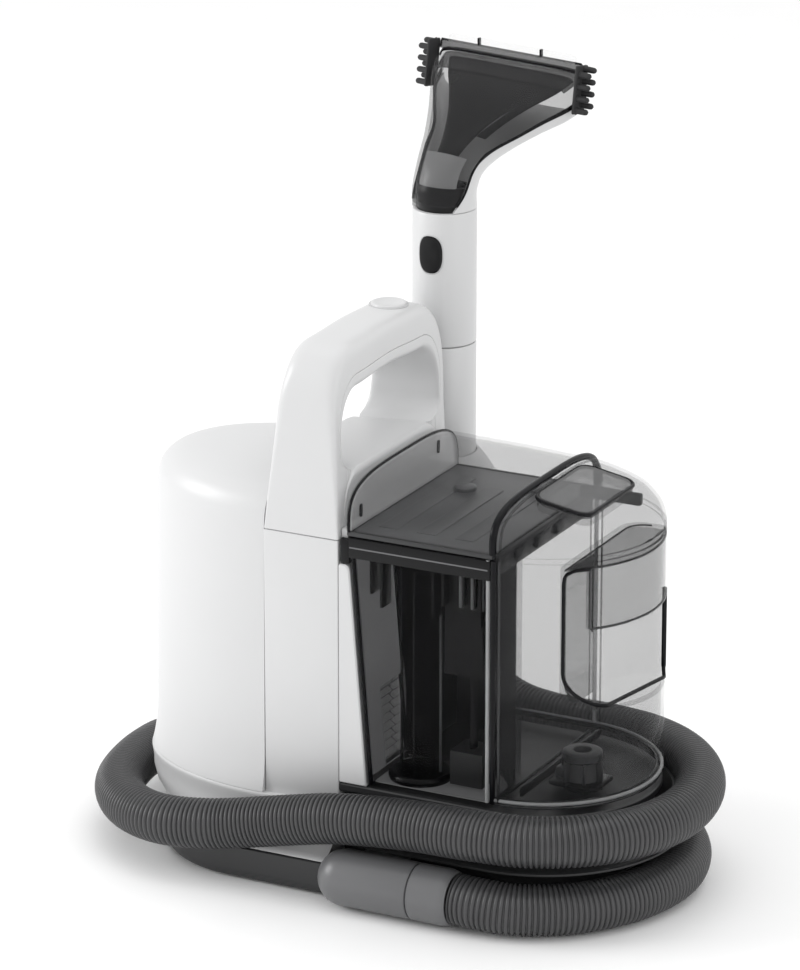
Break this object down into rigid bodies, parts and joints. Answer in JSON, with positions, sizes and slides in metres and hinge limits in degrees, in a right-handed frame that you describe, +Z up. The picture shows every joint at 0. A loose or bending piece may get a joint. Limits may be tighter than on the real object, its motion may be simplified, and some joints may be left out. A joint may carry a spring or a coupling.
{
  "type": "portable carpet cleaner",
  "caption": "Portable carpet and upholstery cleaner with a carry arch, a lift-out water tank, a hose wrapped round its base and an upright hand tool.",
  "frame": {"origin": "on the floor under the back edge of the water tank, midway between the two sides of the housing", "axes": "+X towards the round end of the tank, +Z up, +Y towards the side that holds the hand tool"},
  "size_m": [0.4213, 0.298, 0.488],
  "materials": {
    "white_body": "satin moulded",
    "grey_trim": "satin moulded",
    "black_trim": "gloss moulded",
    "soft_rubber": "matte",
    "smoke_tank": "tinted clear",
    "clear_tank": "clear moulded",
    "steel": "machined",
    "board": "solder mask"
  },
  "bodies": {
    "root": {"base_pan": "grey_trim", "foot_rear_near": "soft_rubber", "base_screw_rear_near": "steel", "foot_rear_far": "soft_rubber", "base_screw_rear_far": "steel", "foot_front_near": "soft_rubber", "base_screw_front_near": "steel", "foot_front_far": "soft_rubber", "base_screw_front_far": "steel", "lower_housing": "white_body", "rear_shell": "white_body", "centre_frame": "white_body", "side_panel_near": "white_body", "side_panel_far": "white_body", "handle_cover": "white_body", "handle_liner": "white_body", "tank_bulkhead": "white_body", "bulkhead_grille": "grey_trim", "tank_tray": "grey_trim", "docking_seal": "soft_rubber", "cord_inlet": "soft_rubber", "motor_can": "steel", "bearing_lower": "steel", "bearing_upper": "steel", "fan_housing": "grey_trim", "air_duct": "grey_trim", "pump_body": "black_trim", "circuit_board": "board", "hose_connector": "grey_trim", "hose_base_cuff": "grey_trim", "hose_tube": "grey_trim", "tool_holder": "white_body"},
    "power_button": {"power_button": "white_body"},
    "rotor": {"motor_shaft": "steel", "impeller": "grey_trim"},
    "pump_plunger": {"pump_plunger": "steel"},
    "tank": {"clean_tank": "clear_tank", "clean_tank_floor": "clear_tank", "grip_pocket": "clear_tank", "dirty_tank": "smoke_tank", "standpipe": "smoke_tank", "standpipe_ring": "black_trim", "separator": "black_trim", "clean_valve_body": "black_trim"},
    "float": {"float": "white_body"},
    "clean_valve": {"clean_valve_poppet": "soft_rubber"},
    "lid": {"hood": "clear_tank", "lid_rim": "black_trim", "lid_plate": "smoke_tank", "lid_gasket": "soft_rubber"},
    "lid_latch": {"latch_button": "smoke_tank"},
    "tool": {"wand_lower": "white_body", "wand_upper": "white_body", "hose_wand_cuff": "grey_trim"},
    "trigger": {"trigger": "black_trim"},
    "nozzle": {"nozzle_back": "white_body", "nozzle_cover": "smoke_tank", "nozzle_duct": "black_trim", "nub_strip_rear": "soft_rubber", "nub_strip_front": "soft_rubber"}
  },
  "joints": [
    {"name": "power_press", "type": "slide", "parent": "root", "child": "power_button", "axis": [0, 0, -1], "range_m": [0, 0.0015], "stiffness_N_per_m": 300},
    {"name": "motor_spin", "type": "hinge", "parent": "root", "child": "rotor", "pos_m": [-0.105, 0, 0.14], "axis": [0, 0, 1], "continuous": true},
    {"name": "pump_stroke", "type": "slide", "parent": "root", "child": "pump_plunger", "axis": [0, 0, 1], "range_m": [-0.002, 0.002], "stiffness_N_per_m": 600},
    {"name": "tank_lift", "type": "slide", "parent": "root", "child": "tank", "axis": [0, 0, 1], "range_m": [0, 0.22]},
    {"name": "float_rise", "type": "slide", "parent": "tank", "child": "float", "axis": [0, 0, 1], "range_m": [0, 0.045]},
    {"name": "valve_open", "type": "slide", "parent": "tank", "child": "clean_valve", "axis": [0, 0, 1], "range_m": [0, 0.003], "stiffness_N_per_m": 200},
    {"name": "lid_lift", "type": "slide", "parent": "tank", "child": "lid", "axis": [0, 0, 1], "range_m": [0, 0.06]},
    {"name": "latch_press", "type": "slide", "parent": "lid", "child": "lid_latch", "axis": [0, 0, -1], "range_m": [0, 0.003], "stiffness_N_per_m": 400},
    {"name": "tool_lift", "type": "slide", "parent": "root", "child": "tool", "axis": [0, 0, 1], "range_m": [0, 0.2]},
    {"name": "trigger_press", "type": "slide", "parent": "tool", "child": "trigger", "axis": [0, 1, 0], "range_m": [0, 0.003], "stiffness_N_per_m": 300},
    {"name": "nozzle_pull", "type": "slide", "parent": "tool", "child": "nozzle", "axis": [0, 0, 1], "range_m": [0, 0.05]}
  ]
}
